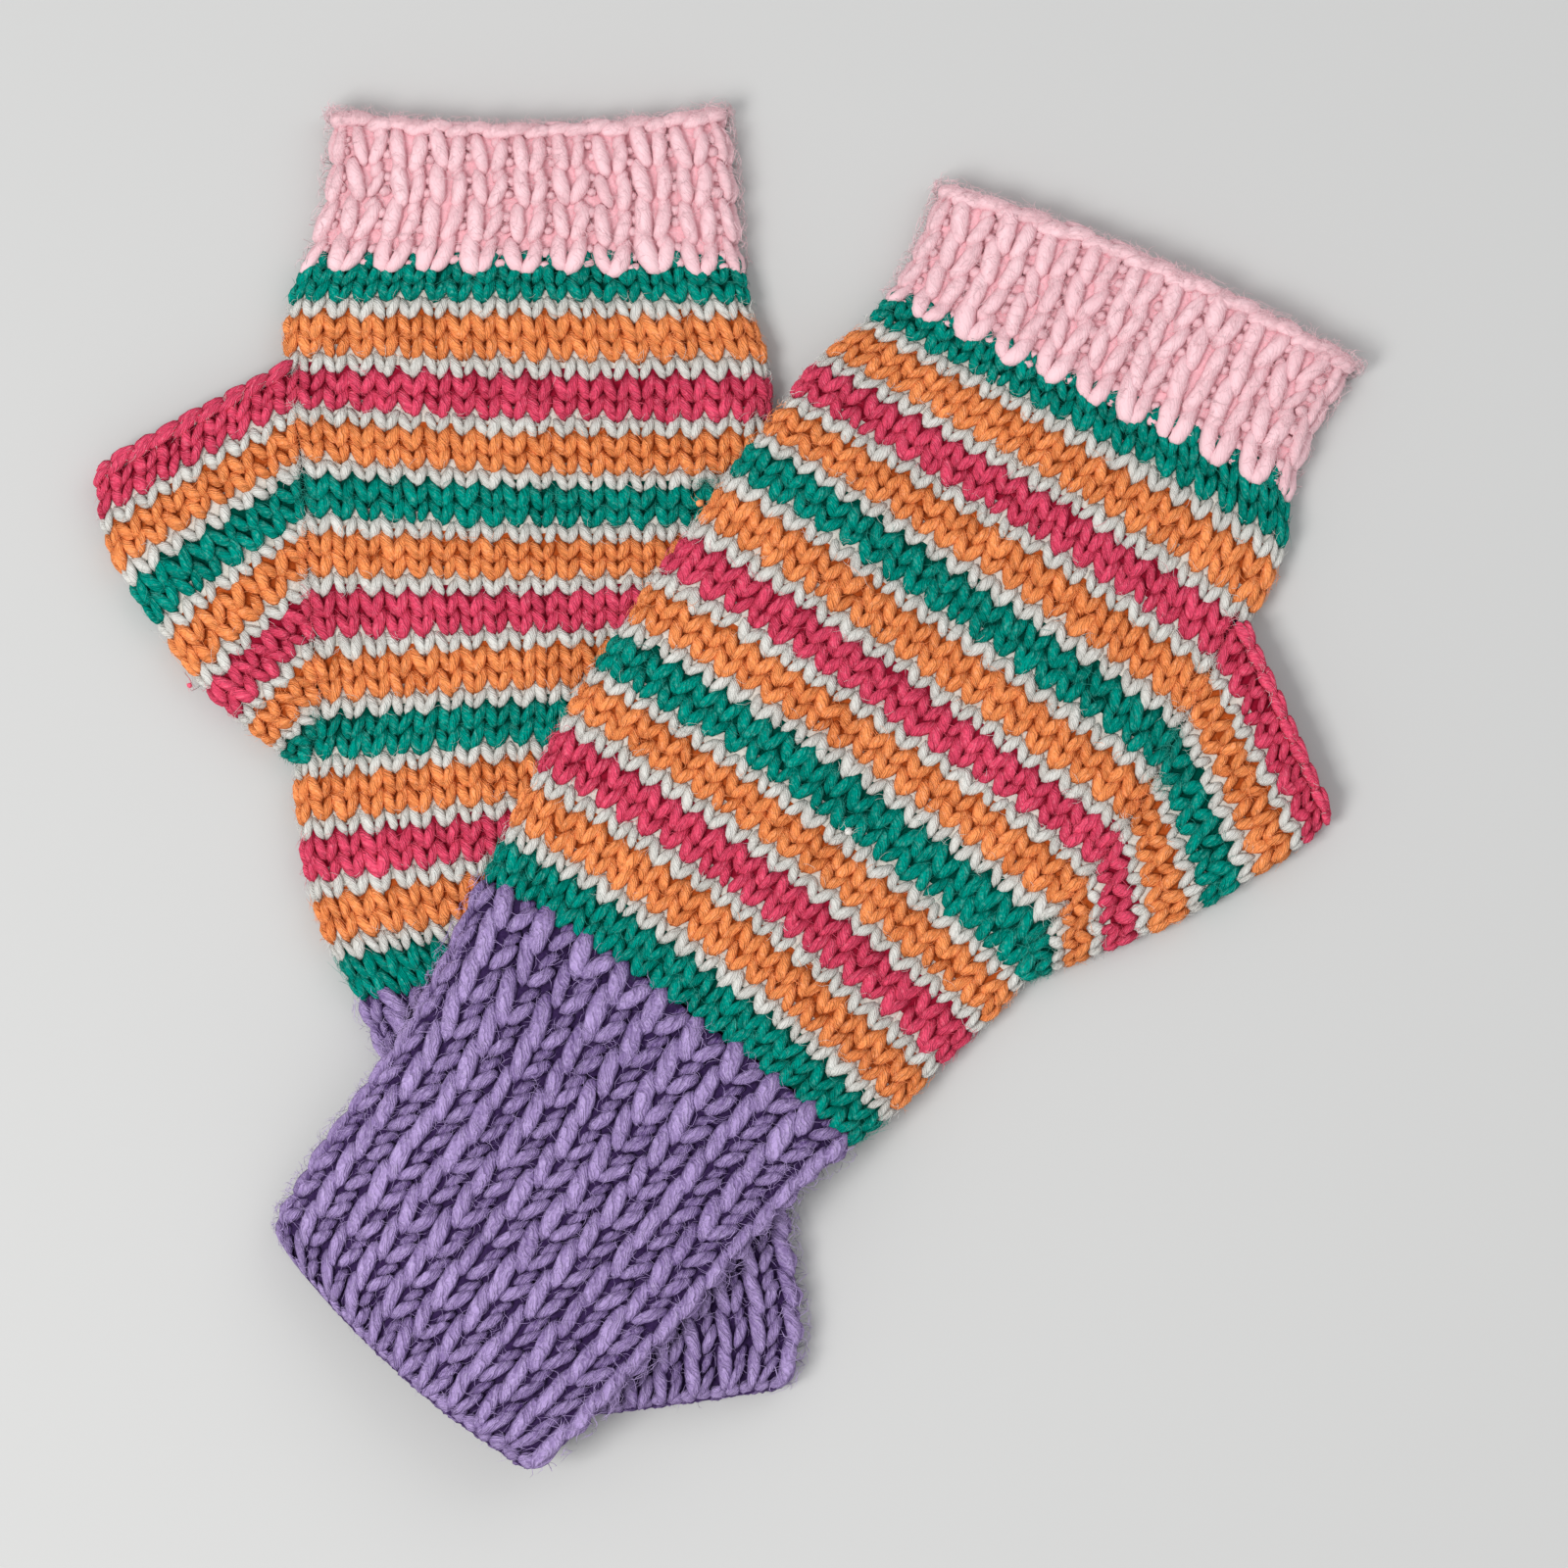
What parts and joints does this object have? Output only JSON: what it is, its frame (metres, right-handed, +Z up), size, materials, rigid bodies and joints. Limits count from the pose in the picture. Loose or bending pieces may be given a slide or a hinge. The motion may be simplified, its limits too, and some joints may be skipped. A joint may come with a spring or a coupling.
{
  "type": "pair of fingerless mittens",
  "caption": "Hand-knitted fingerless mittens with striped hands, thumb gussets and ribbed ends, laid flat with one draped over the other.",
  "frame": {"origin": "middle of the pair's outline, on the surface it lies on", "axes": "+Z up from the surface, +Y towards the fingertips of the lower mitten, +X to its right as seen from above"},
  "size_m": [0.239, 0.2576, 0.02],
  "materials": {
    "cuff_yarn": "lavender brushed wool yarn, ribbed",
    "striped_yarn": "orange, crimson, green and white wool yarn, stockinette stripes",
    "finger_yarn": "pale pink brushed wool yarn, ribbed"
  },
  "bodies": {
    "root": {"left_cuff_rib": "cuff_yarn", "left_hand": "striped_yarn", "left_thumb_gusset": "striped_yarn", "left_finger_rib": "finger_yarn", "right_cuff_rib": "cuff_yarn", "right_hand": "striped_yarn", "right_thumb_gusset": "striped_yarn", "right_finger_rib": "finger_yarn"}
  },
  "joints": []
}
